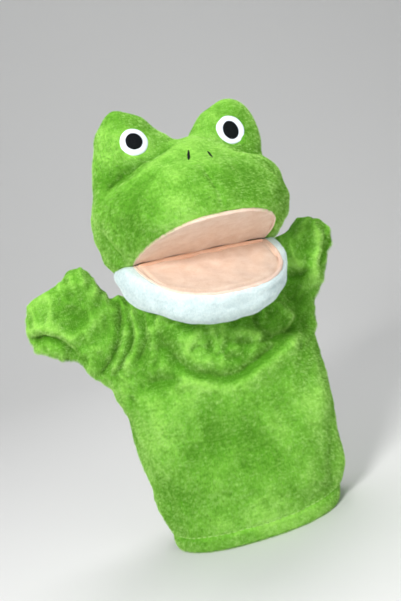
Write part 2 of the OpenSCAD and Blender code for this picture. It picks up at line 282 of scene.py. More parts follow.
def distance_to_line(p, line):
    """Distance from each point to a polyline, in as many dimensions as both have."""
    best = np.full(len(p), 1e9)
    for a, b in zip(line[:-1], line[1:]):
        e = b - a
        t = np.clip(((p - a) @ e) / max(e @ e, 1e-9), 0, 1)
        best = np.minimum(best, ((p - a - t[:, None] * e) ** 2).sum(1))
    return np.sqrt(best)


def stroke(place, line, depth, width, count=24):
    """Bell-shaped dent (negative depth) or ridge along a smooth line, which fades at its two ends."""
    curve = curve_through(line, count)
    d = distance_to_line(place, curve)
    ends = np.minimum(np.linalg.norm(place - curve[0], axis=1), np.linalg.norm(place - curve[-1], axis=1))
    return depth * np.exp(-(d / width) ** 1.5) * smooth(0.35 + ends / (4 * width))


# ---- objects
def add_object(name, co, faces, *materials, slots=None, painted_light_and_nap=None):
    """Mesh object from millimetre points. slots gives each face's material where there are more than one, and
    the painted-light value how much lighter each point is painted: painted highlight on ridges, painted shade
    in hollows."""
    mesh = bpy.data.meshes.new(name)
    mesh.from_pydata((np.asarray(co) * MM).tolist(), [], [list(map(int, f)) for f in faces])
    mesh.update()
    mesh.polygons.foreach_set("use_smooth", [True] * len(mesh.polygons))
    obj = bpy.data.objects.new(name, mesh)
    bpy.context.scene.collection.objects.link(obj)
    for material in materials:
        mesh.materials.append(material)
    if slots is not None:
        mesh.polygons.foreach_set("material_index", np.asarray(slots, np.int32))
    if painted_light_and_nap is not None:
        mesh.attributes.new("painted_light_and_nap", "FLOAT", "POINT").data.foreach_set("value", np.asarray(painted_light_and_nap, np.float32))
        co = np.asarray(co)
        # The pile's tone carries the same painted highlight on ridges and painted shade in hollows, with a
        # little random tone.
        tone = np.clip(0.5 + 0.12 * np.asarray(painted_light_and_nap) + 0.05 * waves(co, 13, 61), 0, 1)
        corners = np.empty(len(mesh.loops), np.int32)
        mesh.loops.foreach_get("vertex_index", corners)
        for layer, pair in (("pile_tone", (tone, co[:, 1])), ("pile_place", (co[:, 0], co[:, 2]))):
            values = np.stack(pair, -1)[corners].astype(np.float32)
            mesh.uv_layers.new(name=layer).data.foreach_set("uv", values.ravel())
    rest = mesh.attributes.new("rest_mm", "FLOAT_VECTOR", "POINT")
    flat = np.empty(len(mesh.vertices) * 3, np.float32)
    mesh.vertices.foreach_get("co", flat)
    rest.data.foreach_set("vector", flat / MM)
    return obj


def shape_object(name, shape, *materials, slots=None):
    return add_object(name, shape.co, shape.quads, *materials, slots=slots, painted_light_and_nap=shape.painted_light_and_nap)


def sheet_faces(rows, cols, closed=False):
    """Quads of a grid of points, row by row."""
    r, c = np.mgrid[:rows - 1, :cols if closed else cols - 1]
    here, beside = r * cols + c, r * cols + (c + 1) % cols
    return np.stack([here, beside, beside + cols, here + cols], -1).reshape(-1, 4).tolist()


def tube(line, radius, sides=8):
    """Round rod with domed ends along points, as points and faces."""
    line = np.asarray(line, float)
    ahead = np.gradient(line, axis=0)
    ahead /= np.linalg.norm(ahead, axis=1, keepdims=True)
    first = np.cross(ahead, (0.31, 0.77, 0.55))
    first /= np.linalg.norm(first, axis=1, keepdims=True)
    second = np.cross(ahead, first)
    radii = np.broadcast_to(radius, len(line)).astype(float)
    rows = np.r_[0, np.arange(len(line)), len(line) - 1]
    centres, radii, first, second = line[rows], radii[rows], first[rows], second[rows]
    centres[0] -= 0.5 * radii[0] * ahead[0]
    centres[-1] += 0.5 * radii[-1] * ahead[-1]
    radii[[0, -1]] *= 0.6
    turns = np.arange(sides) * 2 * math.pi / sides
    ring = np.cos(turns)[None, :, None] * first[:, None] + np.sin(turns)[None, :, None] * second[:, None]
    co = (centres[:, None] + radii[:, None, None] * ring).reshape(-1, 3)
    faces = [f[::-1] for f in sheet_faces(len(centres), sides, closed=True)]
    faces += [tuple(range(sides)), tuple(range(len(co) - 1, len(co) - sides - 1, -1))]
    return co, faces


def joined(parts):
    """Several (points, faces) as one."""
    co, faces, start = [], [], 0
    for points, some in parts:
        co.append(points)
        faces += [tuple(i + start for i in f) for f in some]
        start += len(points)
    return np.concatenate(co), faces


# ---- materials
class Look:
    """A material being put together. Values are node outputs, and sizes are millimetres at rest."""

    def __init__(self, name, roughness, specular):
        self.material = bpy.data.materials.new(name)
        self.material.use_nodes = True
        self.nodes, self.links = self.material.node_tree.nodes, self.material.node_tree.links
        self.shader = self.nodes["Principled BSDF"]
        self.settle(self.shader, {"Roughness": roughness, "Specular IOR Level": specular})

    def settle(self, node, inputs):
        """Links a node's inputs to values, or sets them to numbers."""
        for name, value in inputs.items():
            if isinstance(value, bpy.types.NodeSocket):
                self.links.new(value, node.inputs[name])
            else:
                node.inputs[name].default_value = value

    def node(self, kind, output, inputs, **settings):
        """One output of a new node."""
        node = self.nodes.new("ShaderNode" + kind)
        for key, value in settings.items():
            setattr(node, key, value)
        self.settle(node, inputs)
        return node.outputs[output]

    def rest_place(self, stretch=(1, 1, 1)):
        """Each point's place at rest, stretched per axis."""
        place = self.node("Attribute", "Vector", {}, attribute_name="rest_mm")
        return self.node("Mapping", "Vector", {"Vector": place, "Scale": stretch})

    def noise(self, where, size, detail=2, rough=0.5):
        inputs = {"Vector": where, "Scale": 1 / size, "Detail": detail, "Roughness": rough}
        return self.node("TexNoise", "Fac", inputs)

    def mix(self, a, b, share):
        return self.node("Mix", "Result", {"Factor": share, "A": a, "B": b}, data_type="FLOAT")

    def add_share(self, value, share, to):
        """A share of one value on top of another."""
        return self.node("Math", "Value", {0: value, 1: share, 2: to}, operation="MULTIPLY_ADD")

    def colour(self, value, stops):
        node = self.nodes.new("ShaderNodeValToRGB")
        elements = node.color_ramp.elements
        while len(elements) < len(stops):
            elements.new(0.5)
        for element, (place, colour) in zip(elements, stops):
            element.position = place
            element.color = (*colour, 1)
        self.settle(node, {"Fac": value})
        self.settle(self.shader, {"Base Color": node.outputs["Color"]})

    def dents(self, height, strength, distance_m):
        inputs = {"Height": height, "Strength": strength, "Distance": distance_m}
        self.settle(self.shader, {"Normal": self.node("Bump", "Normal", inputs)})


def plush_material(name, dark, middle, light, sheen, bump=0.45):
    """Short-pile plush: soft patches where the pile lies differently, fine streaks, painted highlight and
    shade from the mesh's painted-light value, and a napped sheen.
    """
    look = Look(name, 0.8, 0.12)
    streaky = look.rest_place((1, 1, 0.4))
    patches = look.noise(look.rest_place(), 15)
    streaks = look.noise(streaky, 1.5, 2, 0.55)
    tufts = look.noise(streaky, 0.7, 2, 0.6)
    # Painted light: the mesh's painted-light value lightens ridges and seams as painted highlight and darkens
    # hollows as painted shade.
    painted_light_and_nap = look.node("Attribute", "Fac", {}, attribute_name="painted_light_and_nap")
    tone = look.mix(look.mix(patches, streaks, 0.45), tufts, 0.22)
    look.colour(look.add_share(painted_light_and_nap, 0.12, tone), [(0.34, dark), (0.5, middle), (0.66, light)])
    look.settle(look.shader, {"Sheen Weight": sheen, "Sheen Roughness": 0.4, "Sheen Tint": (*light, 1)})
    look.dents(look.mix(streaks, tufts, 0.5), bump, 0.001)
    return look.material


def felt_material(name, dark, light):
    look = Look(name, 0.9, 0.12)
    where = look.rest_place()
    fibres = look.noise(where, 0.8, 4, 0.7)
    look.colour(look.mix(look.noise(where, 6), fibres, 0.55), [(0.35, dark), (0.65, light)])
    look.settle(look.shader, {"Sheen Weight": 0.25})
    look.dents(fibres, 0.35, 0.0006)
    return look.material


def thread_material(name, dark, light, roughness, specular=0.25):
    look = Look(name, roughness, specular)
    look.colour(look.noise(look.rest_place(), 0.35, 3, 0.6), [(0.35, dark), (0.65, light)])
    return look.material


GREEN = plush_material("green_plush", (0.085, 0.29, 0.013), (0.16, 0.44, 0.036), (0.30, 0.62, 0.09), 0.55)
WHITE = plush_material("white_plush", (0.56, 0.68, 0.69), (0.68, 0.79, 0.79), (0.80, 0.89, 0.88), 0.3, 0.3)
PEACH = felt_material("peach_felt", (0.69, 0.49, 0.36), (0.81, 0.64, 0.52))
# Lighter copy of the peach felt for the rolled lip edges: painted highlight.
PEACH_EDGE_PAINTED_HIGHLIGHT = felt_material("peach_edge_painted_highlight", (0.74, 0.52, 0.40), (0.86, 0.68, 0.57))
# Oranger copy of the peach felt for the roll along the mouth's fold: painted warm highlight.
PEACH_FOLD_PAINTED_HIGHLIGHT = felt_material("peach_fold_painted_highlight", (0.80, 0.47, 0.31), (0.88, 0.59, 0.43))
THREAD_WHITE = thread_material("white_thread", (0.74, 0.80, 0.92), (0.88, 0.92, 1.0), 0.5)
THREAD_BLACK = thread_material("black_thread", (0.001, 0.0015, 0.002), (0.008, 0.011, 0.013), 0.6, 0.08)
THREAD_GREEN = thread_material("green_thread", (0.32, 0.62, 0.12), (0.50, 0.78, 0.24), 0.6)
KNIT = felt_material("green_knit", (0.10, 0.30, 0.03), (0.20, 0.46, 0.07))
LINING = felt_material("lining_cloth", (0.50, 0.50, 0.48), (0.66, 0.66, 0.63))

# ---- body, shoulders and arms
# Sleeve sections from the hem up: height, left edge, right edge, front, back
SECTIONS = np.array([
    (-6, -57, 55, -35, 35), (0, -58, 56, -36, 35.5), (10, -59, 60, -36.5, 36), (28, -61, 65.5, -38, 37),
    (45, -62.5, 68, -39, 38), (68, -64, 70, -39, 38), (90, -65.5, 70.5, -38, 37), (110, -67.5, 71, -36, 35),
    (125, -66, 68, -35, 33), (140, -62, 63, -35, 31), (152, -55, 56, -35, 30), (162, -44, 47, -34.5, 29.5),
    (170, -33, 37, -34, 29.5), (175, -29.5, 33.5, -33.5, 29.5), (182, -28, 32, -32, 28),
    (200, -28, 32, -32, 28)], float)
SQUARENESS = ((150, 172), (2.3, 2.0))  # heights, and the sections' superellipse powers there
BODY_LOW, BODY_HIGH = (-116, -50, -6), (112, 48, 212)  # box that the body is meshed in
NECK_CUT, NECK_TOP, NECK_REACH = 175, 190, 36

ARM_RIGHT = [(-56, 122), (-40, 136), (-32, 150), (-33, 164), (-38, 174), (-45, 179), (-51, 178), (-55, 186),
             (-58.5, 194), (-60, 201), (-63, 204.5), (-67.5, 205.5), (-72, 204.5), (-75, 200.5), (-77, 196.5),
             (-83, 195), (-92, 192),
             (-101, 187), (-106.5, 178.5), (-108.5, 169), (-104, 159), (-94, 150), (-84, 141), (-77, 132),
             (-68, 124)]
ARM_LEFT = [(56, 118), (44, 140), (44, 158), (50, 170), (58, 180), (66, 187), (75, 191), (85, 193), (94, 190),
            (101, 182), (103, 172), (99, 162), (92, 154), (84, 143), (77, 131), (71, 118)]
ARM_RIM, ARM_HALF_T = 17, 13.5
ARM_Y = {"right": SHOULDER_RIGHT[1] - 6, "left": SHOULDER_LEFT[1] - 6}
# Armpit and crook of the neck, between which each arm's cloth leaves the body
ARM_SPLIT = {"right": ((-68, 124), (-38, 172)), "left": ((74, 112), (40, 172))}
HEM_SEAM = 10.5  # height of the stitches that hold the turned hem
HEM_EXTRA = 1.5  # how much thicker the cloth is below them
HEM_EDGE = 1.5  # height up to which the turned edge shows plush on its inside too
STITCHES, STITCH_POINTS, STITCH_RADIUS = 84, 6, 0.42
STITCH_HALF = 0.30  # half a stitch, as a share of the pitch
SLEEVE_FLATNESS, OUTSIDE = 0.62, 90  # depth for width of the sleeve, and a distance surely outside it
CLOTH_T = 1.7


def section_at(z):
    return [np.interp(z, SECTIONS[:, 0], SECTIONS[:, k]) for k in range(1, 5)]


def sleeve_field(p):
    left, right, front, back = section_at(p[..., 2])
    power = np.interp(p[..., 2], *SQUARENESS)
    mx, my = (left + right) / 2, (front + back) / 2
    dx, dy = p[..., 0] - mx, p[..., 1] - my
    r = np.abs(dx / (right - mx)) ** power + np.abs(dy / (back - my)) ** power
    r = np.maximum(r ** (1 / power), 1e-6)
    return np.hypot(dx, dy) * (1 - 1 / r)


def pouch(flat, across, rim, half_t):
    """Stuffed pouch: two cloths sewn round an outline and domed between, with across square to them."""
    return (np.hypot(np.maximum(flat + rim, 0), across * rim / half_t) - rim) * 0.85


ARM_FLAT = {"right": Flat(curve_through(ARM_RIGHT, 90, closed=True)),
            "left": Flat(curve_through(ARM_LEFT, 72, closed=True))}


def body_field(p):
    arms = [pouch(flat(p[..., 0], p[..., 2]), p[..., 1] - ARM_Y[side], ARM_RIM, ARM_HALF_T)
            for side, flat in ARM_FLAT.items()]
    return join(sleeve_field(p), np.minimum(*arms), 8)


# Folds of the front cloth (x, z): points, depth (a ridge is positive) and width
BODY_FOLDS = [
    # the big fold that hangs across the chest between the arms, and the ridge under it
    ([(-28, 148), (-25, 141), (-20, 130), (-12, 121), (0, 115), (12, 111), (24, 114), (40, 119), (66, 128)],
     -4, 4),
    ([(-30, 127), (-19, 119), (-8, 112), (6, 105), (20, 107), (40, 113), (68, 122)], 1.5, 4.5),
    # creases over it
    ([(18, 133), (31, 127), (51, 125)], -2.4, 2.4), ([(20, 138), (33, 133), (48, 131)], 1.8, 3),
    ([(29, 131), (37, 124), (52, 121), (66, 124)], 1.8, 2.6),
    ([(4, 141), (3, 130), (9, 128)], -2.2, 2.4), ([(11, 136), (11, 125), (22, 121)], -2.4, 2.6),
    ([(8, 146), (7, 138), (8, 131)], 1.6, 2.4), ([(-14, 140), (-10, 130), (-4, 124)], 1.6, 4.5),
    ([(-22, 123), (-29, 120), (-39, 121), (-46, 118)], -1.8, 2.8), ([(-55, 117), (-58, 108)], -1.8, 2),
    ([(-20, 146), (-8, 142), (4, 146)], 1.6, 4),
    # root of the frog's right arm: three arcs with ridges between them
    ([(-47, 178), (-46, 168), (-50, 159), (-58, 145), (-71, 133)], -3.6, 2.1),
    ([(-44, 176), (-43, 164), (-47, 153), (-55, 141), (-66, 131)], 2.0, 2.4),
    ([(-42, 172), (-43, 158), (-49, 145), (-61, 131)], -3.2, 2.0),
    ([(-39, 170), (-39, 158), (-43, 146), (-53, 132)], 1.8, 2.4),
    ([(-34, 166), (-35, 157), (-38, 147), (-47, 135)], -3.0, 2.2),
    ([(-30, 160), (-30, 150), (-34, 140)], 1.6, 3),
    # root of the frog's left arm: a pocket with a ridge hanging into it
    ([(54, 152), (47, 151), (40, 147), (36, 139), (40, 131), (50, 127), (62, 127)], -3.0, 2.6),
    ([(50, 145), (54, 141), (59, 137)], -2.6, 7), ([(54, 147), (56, 139), (61, 133), (69, 129)], 1.8, 3),
    ([(60, 152), (63, 145), (68, 140)], -2, 2.2),
    # frog's left arm: ridge down to the elbow with a hollow outside it, and soft folds across
    ([(93, 184), (90, 173), (86, 164), (79, 153)], 2.6, 3.2), ([(99, 174), (95, 166), (90, 159)], -3.2, 4),
    ([(62, 162), (71, 157), (83, 158)], -2.4, 2.8), ([(62, 168), (72, 164), (82, 166)], 1.5, 3.5),
    ([(80, 180), (82, 170), (78, 159)], -1.6, 3),
    # frog's right arm: the tip folds under itself
    ([(-111, 164), (-103, 168), (-95, 167), (-88, 161), (-84, 150)], -6.5, 2.6),
    ([(-107, 173), (-98, 174), (-88, 169), (-80, 160)], 2.2, 4),
    ([(-79, 186), (-74, 176), (-76, 164)], -1.2, 5),
]
BACK_FOLDS = [
    ([(-50, 150), (-30, 136), (0, 131), (30, 136), (50, 148)], -2.6, 4.5),
    ([(-44, 140), (-22, 126), (4, 122), (34, 127)], 1.8, 5),
    ([(-60, 135), (-52, 150), (-48, 166)], -2.6, 3), ([(62, 128), (54, 146), (50, 162)], -2.6, 3),
    ([(-30, 112), (-6, 104), (26, 110)], -1.5, 5),
]


def split_normal(side):
    """Unit vector from an arm's split plane towards the arm, and its distance."""
    (ax, az), (bx, bz) = ARM_SPLIT[side]
    way = np.array([bz - az, 0, ax - bx], float)
    way *= (1 if side == "left" else -1) / np.linalg.norm(way)
    return way, way @ (ax, 0, az)


def in_neck(m):
    return np.hypot(m[:, 0] - NECK[0], m[:, 1] - NECK[1]) < NECK_REACH


def make_body():
    whole = Shape(*mesh_of(body_field, BODY_LOW, BODY_HIGH)).relax(3)
    whole = whole.keep(lambda m: (m[:, 2] > 0) & ~((m[:, 2] > NECK_TOP) & in_neck(m)))
    co, n = whole.co, whole.normals()
    x, y, z = co.T
    steady = smooth((z - 3) / 14) * (1 - smooth((z - 158) / 14) * in_neck(co))
    places = np.stack([x, z], 1)
    front, back = smooth((-n[:, 1] - 0.15) / 0.4), smooth((n[:, 1] - 0.15) / 0.4)
    folds = 1.7 * sum(stroke(places, *fold) for fold in BODY_FOLDS) * front
    change = folds.copy()
    change += sum(stroke(places, *fold) for fold in BACK_FOLDS) * back
    change += 1.3 * waves(co, 44, 3) + 0.6 * waves(co * (1, 1, 0.6), 19, 4) + 0.25 * waves(co, 9, 5)
    chest = smooth((z - 104) / 24)
    broad, fine = creased(co * (1, 0.5, 1), 30, 41), creased(co, 14, 42)
    change += chest * (1.6 * broad + 1.1 * fine)
    _, _, near, far = section_at(z)
    seam_y = np.where(x < -60, ARM_Y["right"], np.where(x > 66, ARM_Y["left"], (near + far) / 2))
    on_side = smooth((0.5 - np.abs(n[:, 1])) / 0.3)
    change -= 1.1 * np.exp(-((y - seam_y) / 1.3) ** 2) * on_side * smooth((z - 10) / 6)
    whole.push(change * steady)
    # Painted light: where folds and crumples rise the cloth is painted lighter as painted highlight, and in
    # their hollows darker as painted shade, over a tone that differs at random.
    painted_light_and_nap = (0.3 * change + 0.25 * folds) * steady + 0.25 * waves(co, 60, 8)
    whole.painted_light_and_nap = np.clip(painted_light_and_nap + chest * (0.3 * broad + 0.5 * fine), -1.5, 1.4)
    hem = np.exp(-((z - HEM_SEAM) / 1.1) ** 2)
    whole.push(-1.2 * hem + 0.5 * np.exp(-((z - 4.5) / 3.2) ** 2))
    return whole.relax(1, 0.4)


def hem_stitches():
    """Running stitches that hold the turned hem."""
    ring = body_shape.keep(lambda m: np.abs(m[:, 2] - HEM_SEAM) < 2.5).tree()
    parts = []
    middle = np.array([0, 0, HEM_SEAM])
    for k in range(STITCHES):
        a = 2 * math.pi * (k + 0.12 * RNG.random()) / STITCHES
        arc = []
        for step in np.linspace(-STITCH_HALF, STITCH_HALF, STITCH_POINTS):
            b = a + step * 2 * math.pi / STITCHES
            way = Vector((math.cos(b), SLEEVE_FLATNESS * math.sin(b), 0)).normalized()
            hit = ring.ray_cast(Vector(middle + np.array(way) * OUTSIDE), -way)[0]
            if hit is None:
                break
            arc.append(np.array(hit) + np.array(way) * (0.25 - 1.2 * abs(step / STITCH_HALF) ** 3 * 0.6))
        if len(arc) == STITCH_POINTS:
            parts.append(tube(arc, STITCH_RADIUS, 6))
    return joined(parts)


body_shape = make_body()


def arm_mask(side):
    way, reach = split_normal(side)
    return lambda m: m @ way > reach


is_arm = {side: arm_mask(side) for side in ("right", "left")}


def is_neck(m):
    return (m[:, 2] > NECK_CUT) & ~is_arm["right"](m) & ~is_arm["left"](m)


def is_sleeve(m):
    return ~(is_neck(m) | is_arm["right"](m) | is_arm["left"](m))


def cloth_part(name, mask):
    """Part of the body's cloth, with its back face in knit."""
    part = body_shape.keep(mask)
    cloth, inner = part.shell(body_inward[part.used])
    by_hem = cloth.co[cloth.quads].mean(1)[:, 2] < HEM_EDGE
    return shape_object(name, cloth, GREEN, KNIT, slots=inner & ~by_hem)


thickness = CLOTH_T + HEM_EXTRA * (1 - smooth((body_shape.co[:, 2] - HEM_SEAM + 1.5) / 3))
body_inward = -body_shape.normals() * thickness[:, None]
body_skin = cloth_part("body_skin", is_sleeve)
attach(body_skin, "sleeve")
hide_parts("body_front_panel", "body_back_panel", "hem_band")

neck_skin = cloth_part("neck_skin", is_neck)
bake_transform(neck_skin)
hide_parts("neck_tube")

arm_skins = []
for side in ("right", "left"):
    skin = cloth_part(f"arm_skin_{side}", is_arm[side])
    arm_skins.append(skin)
    way, reach = split_normal(side)
    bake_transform(skin)
    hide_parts(*(f"{node}_{side}" for node in ("arm_front", "arm_back", "arm_wadding")))

stitches = add_object("hem_stitches", *hem_stitches(), THREAD_GREEN)
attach(stitches, "sleeve")
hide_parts("hem_thread")

# ---- head
HEAD_MID, HEAD_HALF, HEAD_POWER = (1.2, -6, 22), (61, 56.5, 44.5), 2.35
BUMP_MID_F, BUMP_HALF_T, BUMP_RIM = 1, 12.5, 17
BUMP_LEFT = [(-2, 40), (2, 62), (8, 73), (15, 80.5), (23, 87), (33, 90.5), (41.5, 90), (48, 85), (52.5, 75),
             (54, 62), (50, 46), (30, 34)]
BUMP_RIGHT = [(8, 40), (2, 64), (-4, 71), (-12, 79.5), (-21, 88), (-30, 92.5), (-38.5, 94), (-45.5, 88.5),
              (-51, 78), (-56.5, 64), (-59.5, 50), (-61.5, 38), (-59, 26), (-44, 22), (-20, 34)]
LIP_GAP = 3.8  # how far the plush stands back from a lining's plane, behind the felt
FELT_T, FELT_INSET = 1.8, 0.4


def mouth_outline(half_w, depth, count=48):
    """Lip outline in the plane of a lining: x, and distance ahead of the fold."""
    t = np.linspace(-math.pi / 2, math.pi / 2, count)
    c, s = np.cos(t), np.sin(t)
    x = half_w * np.sign(s) * np.abs(s) ** (2 / MOUTH_POWER)
    return np.stack([x, depth * np.abs(c) ** (2 / MOUTH_POWER)], -1)


MOUTH_FLAT = Flat([*mouth_outline(MOUTH_HALF_W, MOUTH_DEPTH), (MOUTH_HALF_W, -120), (-MOUTH_HALF_W, -120)])


def above_lining(q, rise):
    """Distance ahead along a lining's plane and height above it, for a plane that rises from the fold."""
    a = math.radians(rise)
    return (q[..., 1] * math.cos(a) + q[..., 2] * math.sin(a),
            -q[..., 1] * math.sin(a) + q[..., 2] * math.cos(a))


def on_lining(x, ahead, high, rise):
    """Head place of a point given along, and square to, a lining's plane."""
    c, s = math.cos(math.radians(rise)), math.sin(math.radians(rise))
    return np.stack([x, ahead * c - high * s, ahead * s + high * c], -1)


# Top of the muzzle, which rises to the saddle between the eye bumps: middle and half sizes
MUZZLE_TOP = ((1, 6, 48), (31, 24, 21.5), 2.0)

# Side view of the white cloth (f, u): below the lower lining, and back under the cheeks to the throat
WHITE_SIDE = [(0, 0), (120, -120 * math.tan(math.radians(LOWER_FALL))), (120, -150), (-28, -150), (-30, -16),
              (-26, -5), (-16, -1), (-6, 0)]
WHITE_FLAT = Flat(WHITE_SIDE)


BUMP_FLAT = [Flat(curve_through(points, 60, closed=True)) for points in (BUMP_LEFT, BUMP_RIGHT)]


def head_whole(q):
    """Whole head without the mouth's gap."""
    main = egg(q, HEAD_MID, HEAD_HALF, HEAD_POWER)
    slope = 0.16 + 0.15 * smooth((q[..., 0] - 3) / 14) * (1 - smooth((q[..., 0] - 34) / 16))
    lean = slope * np.maximum(q[..., 2] - 36, 0) * smooth(q[..., 1] / 30)
    main = join(main + lean, egg(q, *MUZZLE_TOP), 9)
    bumps = [pouch(flat(q[..., 0], q[..., 2]), q[..., 1] - BUMP_MID_F, BUMP_RIM, BUMP_HALF_T)
             for flat in BUMP_FLAT]
    return join(main, np.minimum(*bumps), 4)


# How far the chin stands out past the lip line, at each depth under the lower lining
CHIN_SIDE = [0, 4, 11, 18, 24, 28.5, 32, 35], [1.6, 2.8, 2.6, -1.0, -7, -14, -24, -60]
THROAT = (-0.5, -5, -1), (52.5, 40, 33.5), 2.7


def hand_room(p):
    """Room for the wearer's hand, up the neck and into the head."""
    shaft = np.maximum(np.hypot(p[..., 0] - NECK[0], p[..., 1] - NECK[1]) - 23, p[..., 2] - FOLD[2])
    return join(shaft, egg(to_head(p), (0, -16, 12), (30, 20, 24)), 6)


def lining_bed(q, rise, side):
    """Shallow bed for a felt lining: below zero inside the lips' outline and close to the lining's plane."""
    ahead, high = above_lining(q, rise)
    return np.maximum(MOUTH_FLAT(q[..., 0], ahead) + 0.6, side * high - LIP_GAP)


def green_field(p):
    q = to_head(p)
    ahead, high = above_lining(q, UPPER_RISE)
    widening = 2.2 + 15 * (1 - np.exp(-np.maximum(high, 0) / 9)) + np.maximum(-ahead, 0) * 1.2
    form = cut(head_whole(q), MOUTH_FLAT(q[..., 0], ahead) - widening, 5)
    white = WHITE_FLAT(q[..., 1], q[..., 2])
    ahead_of_fold = smooth((q[..., 1] + 4) / 8)
    form = cut(form, -(ahead_of_fold * high + (1 - ahead_of_fold) * np.maximum(white, -40)), 4)
    return np.maximum(form, -np.minimum(lining_bed(q, UPPER_RISE, 1), hand_room(p)))


def white_field(p):
    q = to_head(p)
    ahead, high = above_lining(q, -LOWER_FALL)
    widening = np.interp(-high, *CHIN_SIDE)
    bowl = np.maximum(MOUTH_FLAT(q[..., 0], ahead) - widening, -ahead - 12)
    form = join(bowl, egg(q, *THROAT), 10)
    form = cut(form, WHITE_FLAT(q[..., 1], q[..., 2]), 3)
    return np.maximum(form, -np.minimum(lining_bed(q, -LOWER_FALL, -1), hand_room(p)))


# Seams and folds of the head, as head points (x, f, u): points, depth and width
HEAD_FOLDS = [
    ([(-5, 46, 49), (-4, 50, 41), (-3, 52, 32), (-2.5, 50, 23), (-2, 46, 19)], -1.7, 1.3),
    ([(-57, 10, 46), (-50, 13, 51), (-39, 16, 57), (-30, 17, 61), (-20, 17, 63), (-8, 15, 67)], -3.2, 1.6),
    ([(-52, 16, 42), (-46, 20, 46), (-36, 25, 53), (-22, 25, 58), (-8, 22, 61)], 2.0, 4.5),
    ([(8, 14, 68), (17, 17, 62), (28, 17, 58), (42, 16, 54), (52, 13, 49)], -3.0, 1.6),
    ([(12, 24, 59), (26, 30, 54), (40, 27, 49), (52, 19, 44)], 1.7, 4.5),
    ([(-60, -2, 24), (-58, 3, 15), (-54, 4, 8), (-46, 2, 2)], -2.6, 2.6),
    ([(-56, 8, 24), (-54, 11, 15), (-50, 11, 8)], 1.3, 4),
    ([(58, 6, 30), (56, 12, 18), (50, 10, 8)], -1.4, 3.5),
    ([(-40, 44, 22), (-20, 51, 24), (0, 53, 26), (22, 50, 26), (40, 42, 24)], 0.8, 7),
]
CHIN_FOLDS = [
    ([(10, 46, -34), (26, 42, -30), (40, 30, -24), (47, 16, -16)], -1.3, 2.2),
    ([(-20, 45, -38), (-4, 48, -40), (12, 46, -41)], -0.9, 2.6),
    ([(-46, 14, -18), (-38, 30, -30), (-24, 38, -38)], -0.8, 3),
]
NOSTRILS = {"right": ((-5.6, 28, 60), (-9.8, 34.5, 52.4)), "left": ((4.8, 31, 57.4), (4.6, 37.8, 51.3))}
BACK_SEAM = (-24, 1.3)  # how far behind the fold the head's back seam runs, and its width


def snapped(tree, points, count=20):
    """Smooth line through head points, laid on a surface, in world millimetres."""
    line = from_head(curve_through(points, count))
    return np.array([np.array(tree.find_nearest(Vector(p))[0]) for p in line])


def fold_on(shape, tree, folds):
    change = np.zeros(len(shape.co))
    for points, depth, width in folds:
        change += stroke(shape.co, snapped(tree, points), depth, width)
    return change


head_corners = from_head([(x, f, u) for x in (-72, 72) for f in (-72, 62) for u in (-40, 102)])
HEAD_LOW, HEAD_HIGH = head_corners.min(0), head_corners.max(0)


def make_head():
    shape = Shape(*mesh_of(green_field, HEAD_LOW, HEAD_HIGH)).relax(2)
    tree = shape.tree()
    q = to_head(shape.co)
    n = shape.normals() @ HEAD * (1, -1, 1)
    change = fold_on(shape, tree, HEAD_FOLDS)
    for start, end in NOSTRILS.values():
        change += stroke(shape.co, snapped(tree, (start, end)), -0.9, 2.2)
    change -= 1.0 * np.exp(-((q[:, 1] - BACK_SEAM[0]) / BACK_SEAM[1]) ** 2) * (q[:, 2] < 62)
    rim = np.exp(-((q[:, 1] - BUMP_MID_F) / 1.3) ** 2) * (q[:, 2] > 66)
    change -= 1.1 * rim * smooth((0.5 - np.abs(n[:, 1])) / 0.3)
    change += 0.7 * waves(shape.co, 36, 11) + 0.3 * waves(shape.co, 13, 12)
    ahead, high = above_lining(q, UPPER_RISE)
    away = smooth((np.abs(high) - 1) / 5) * (hand_room(shape.co) > 1.5)
    on_bumps = smooth((q[:, 2] - 52 - 0.3 * q[:, 1]) / 14)
    by_lip = np.exp(-(high / 5) ** 2) * (ahead > 0)
    by_crown = np.exp(-((q[:, 1] - 34) ** 2 + (q[:, 0] + 4) ** 2 + (q[:, 2] - 58) ** 2) / 15 ** 2)
    # Painted light: fold and seam ridges painted lighter as painted highlight and their hollows darker as
    # painted shade, a dashed painted highlight along the muzzle's middle seam, and the bumps, the band by the
    # upper lip and the crown painted lighter.
    seam = distance_to_line(shape.co, snapped(tree, HEAD_FOLDS[0][0]))
    glints = 2.6 * np.exp(-(seam / 0.9) ** 2) * smooth(0.6 + np.sin(q[:, 2] * 2.2))
    shape.painted_light_and_nap = np.clip(change / 2 + 0.7 * on_bumps + 0.5 * by_lip + 0.8 * by_crown - 0.35
                        + 0.3 * waves(shape.co, 50, 9), -1.5, 1.2) + glints
    return shape.push(change * away)


def make_chin():
    shape = Shape(*mesh_of(white_field, HEAD_LOW, HEAD_HIGH)).relax(2)
    tree = shape.tree()
    change = fold_on(shape, tree, CHIN_FOLDS) + 0.4 * waves(shape.co, 28, 21) + 0.15 * waves(shape.co, 12, 22)
    _, high = above_lining(to_head(shape.co), -LOWER_FALL)
    away = smooth((-high - 1) / 5) * (hand_room(shape.co) > 1.5)
    return shape.push(change * away)


def lined(name, shape, material):
    """Head piece whose hollow for the hand is lining cloth."""
    middle = shape.co[shape.quads].mean(1)
    return shape_object(name, shape, material, LINING, slots=hand_room(middle) < 1.2)


head_shape = make_head()
head_skin = lined("head_skin", head_shape, GREEN)
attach(head_skin, "head")
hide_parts("crown_panel", "muzzle_panel_left", "muzzle_panel_right", "head_back_panel",
            "head_stuffing", "finger_pocket", "upper_palate_board", "eye_wadding_left", "eye_wadding_right",
            *(f"eye_bump_{face}_{side}" for face in ("front", "back") for side in ("left", "right")))

